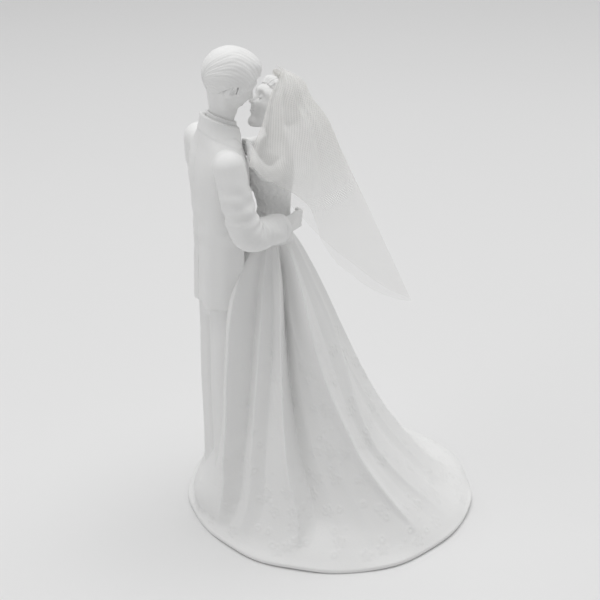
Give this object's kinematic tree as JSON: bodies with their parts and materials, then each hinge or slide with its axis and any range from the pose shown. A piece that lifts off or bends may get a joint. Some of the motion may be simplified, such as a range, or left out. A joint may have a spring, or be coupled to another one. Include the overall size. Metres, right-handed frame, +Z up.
{
  "type": "wedding cake topper",
  "caption": "Matte white bride and groom figurine for the top of a wedding cake: the couple embrace on a round flared skirt, and a tulle veil hangs from the bride's hair.",
  "frame": {"origin": "middle of the round hem, on the flat underside of the skirt", "axes": "+Z up, +X the way the groom faces (towards the bride's train), -Y the side seen in the picture"},
  "size_m": [0.0916, 0.0916, 0.1516],
  "materials": {
    "figure": "matt white print with a fine grain",
    "dress": "matt white print with fine raised lace",
    "tulle": "sheer soft tulle net"
  },
  "bodies": {
    "figures": {"groom_head": "figure", "groom_hair": "figure", "groom_shirt": "figure", "groom_jacket": "figure", "groom_right_sleeve": "figure", "groom_left_sleeve": "figure", "groom_right_hand": "figure", "groom_left_hand": "figure", "groom_trousers": "figure", "groom_right_shoe": "figure", "groom_left_shoe": "figure", "bride_head": "figure", "bride_hair": "figure", "bride_shoulders": "figure", "bride_left_arm": "figure", "bride_right_arm": "figure", "bride_bodice": "dress", "bride_skirt": "dress", "veil_gather": "tulle"},
    "veil": {"veil_tulle": "tulle"}
  },
  "joints": [
    {"name": "veil_lift", "type": "hinge", "parent": "figures", "child": "veil", "pos_m": [-0.01626, 0.002, 0.14054], "axis": [0, -1, 0], "range_deg": [0, 30]}
  ]
}
